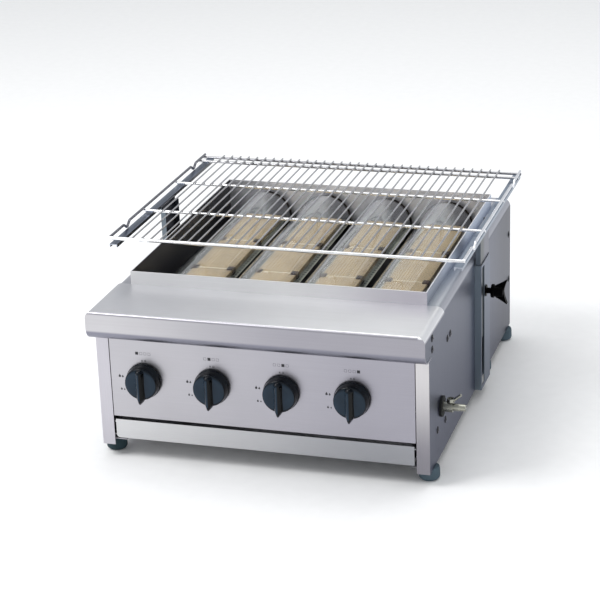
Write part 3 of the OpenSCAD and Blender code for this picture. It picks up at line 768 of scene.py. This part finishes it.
def flame(size):
    """A small flame outline, size high."""
    points = [(0.0, 0.0), (0.28, 0.08), (0.36, 0.3), (0.24, 0.55), (0.1, 0.72), (0.06, 1.0),
              (-0.14, 0.7), (-0.3, 0.45), (-0.34, 0.22), (-0.22, 0.05)]
    return [(x * size, y * size) for x, y in points]


def add_ring(mesh, outer, inner, place, height):
    """A printed square frame, from its inner to its outer half size."""
    sides = [((-outer, -outer), (outer, -inner)), ((-outer, inner), (outer, outer)),
             ((-outer, -inner), (-inner, inner)), ((inner, -inner), (outer, inner))]
    for (x0, y0), (x1, y1) in sides:
        add_prism(mesh, [(x0, y0), (x1, y0), (x1, y1), (x0, y1)], place, height)


def panel_marks():
    """Printed marks: which burner each knob serves, off, and a large and a small flame."""
    mesh = bmesh.new()
    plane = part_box("control_panel")[0].y
    ink = 0.12 * MM
    for number in BURNERS:
        centre = middle(f"valve_stem_{number}")
        low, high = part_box(f"knob_{number}")
        reach = (high.x - low.x) / 2

        def spot(x, z):
            """Place on the panel, x to the right and z up from the knob's middle, facing forwards."""
            turn = Matrix.Rotation(math.radians(90), 4, "X")
            return Matrix.Translation((centre.x + x, plane, centre.z + z)) @ turn

        for k in range(4):
            place = spot((k - 1.5) * 7.6 * MM, reach + 18 * MM)
            if k + 1 == number:
                add_prism(mesh, rectangle(2.7 * MM, 2.7 * MM), place, ink)
            else:
                add_ring(mesh, 2.4 * MM, 2.05 * MM, place, ink)
        for x, size in ((-2.4, 2.6), (3.4, 3.4)):
            add_ring(mesh, size / 2 * MM, (size / 2 - 0.7) * MM, spot(x * MM, reach + 4.5 * MM), ink)
        for x, z, size in ((-14, 2, 6.5), (-8.5, 2, 5.0), (-12, -22, 5.0), (-6.5, -22, 3.6)):
            add_prism(mesh, flame(size * MM), spot(x * MM - reach, z * MM), ink)
    made = make_object("panel_marks", mesh, MATERIALS["ink"])
    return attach(made, "cabinet")


def grate_welds():
    """Small weld beads where each wire crosses a cross bar."""
    mesh = bmesh.new()
    wires = solid_boxes("grate_wires")
    bars = solid_boxes("grate_bars")
    for wire_low, wire_high in wires:
        x = (wire_low.x + wire_high.x) / 2
        wire_r = (wire_high.x - wire_low.x) / 2
        for bar_low, bar_high in bars:
            y = (bar_low.y + bar_high.y) / 2
            inside = wire_low.y < y < wire_high.y
            y = min(max(y, wire_low.y), wire_high.y)
            z = (bar_high.z + wire_low.z) / 2 if inside else (wire_low.z + wire_high.z) / 2
            bead = Matrix.Translation((x, y, z)) @ Matrix.Diagonal((1.15, 1.5, 0.8, 1.0))
            bmesh.ops.create_icosphere(mesh, subdivisions=1, radius=wire_r * 1.1, matrix=bead)
    made = make_object("grate_welds", mesh, MATERIALS["wire"])
    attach(made, "grate")
    return made


# ----------------------------------------------------------------------- stage


CAMERA_TARGET = Vector((0.0426, -0.2255, 0.2807))
CAMERA_DISTANCE = 3.391
CAMERA_AZIMUTH, CAMERA_HEIGHT, CAMERA_ROLL = 17.32, 20.89, -2.09
CAMERA_LENS = 117.0


def make_camera():
    """A long lens to the right of the front, a little above, tilted slightly."""
    azimuth, height = math.radians(CAMERA_AZIMUTH), math.radians(CAMERA_HEIGHT)
    roll = math.radians(CAMERA_ROLL)
    back = Vector((math.sin(azimuth) * math.cos(height), -math.cos(azimuth) * math.cos(height),
                   math.sin(height)))
    right = Vector((0, 0, 1)).cross(back).normalized()
    up = back.cross(right)
    tilted_right = right * math.cos(roll) + up * math.sin(roll)
    tilted_up = up * math.cos(roll) - right * math.sin(roll)
    turn = Matrix((tilted_right, tilted_up, back)).transposed().to_4x4()
    data = bpy.data.cameras.new("camera")
    data.lens, data.sensor_width = CAMERA_LENS, 36.0
    data.clip_start, data.clip_end = 0.05, 100.0
    camera = bpy.data.objects.new("camera", data)
    camera.matrix_world = Matrix.Translation(CAMERA_TARGET + back * CAMERA_DISTANCE) @ turn
    bpy.context.scene.collection.objects.link(camera)
    bpy.context.scene.camera = camera


def add_light(name, location, target, size, watts, color=(1.0, 1.0, 1.0)):
    data = bpy.data.lights.new(name, "AREA")
    data.shape, data.size, data.size_y = "RECTANGLE", size[0], size[1]
    data.energy, data.color = watts, color
    lamp = bpy.data.objects.new(name, data)
    lamp.location = location
    lamp.rotation_mode = "QUATERNION"
    lamp.rotation_quaternion = (Vector(target) - Vector(location)).to_track_quat("-Z", "Y")
    bpy.context.scene.collection.objects.link(lamp)


def make_stage():
    """Pale floor, white surroundings and soft lamps: a key from the upper left, a weak fill."""
    mesh = bmesh.new()
    bmesh.ops.create_grid(mesh, x_segments=1, y_segments=1, size=14.0)
    floor = make_object("floor", mesh, paper_floor("floor_paper"))
    world = bpy.data.worlds.new("studio")
    world.use_nodes = True
    world.node_tree.nodes["Background"].inputs["Color"].default_value = (0.96, 0.98, 1.0, 1.0)
    world.node_tree.nodes["Background"].inputs["Strength"].default_value = 0.75
    bpy.context.scene.world = world
    middle_point = (0, 0, 0.15)
    add_light("key", (-2.2, -1.6, 3.2), middle_point, (1.8, 1.8), 95)
    add_light("top", (0.3, 0.8, 3.6), middle_point, (2.5, 2.5), 45)
    bpy.context.scene.view_settings.view_transform = "Standard"


make_camera()
make_stage()
dress_cad_nodes()
for burner in BURNERS:
    knob(burner)
for hand in SIDES:
    clamp_knob(hand)
feet()
screw_heads()
screw_washers()
plate_joints()
panel_marks()
grate_welds()
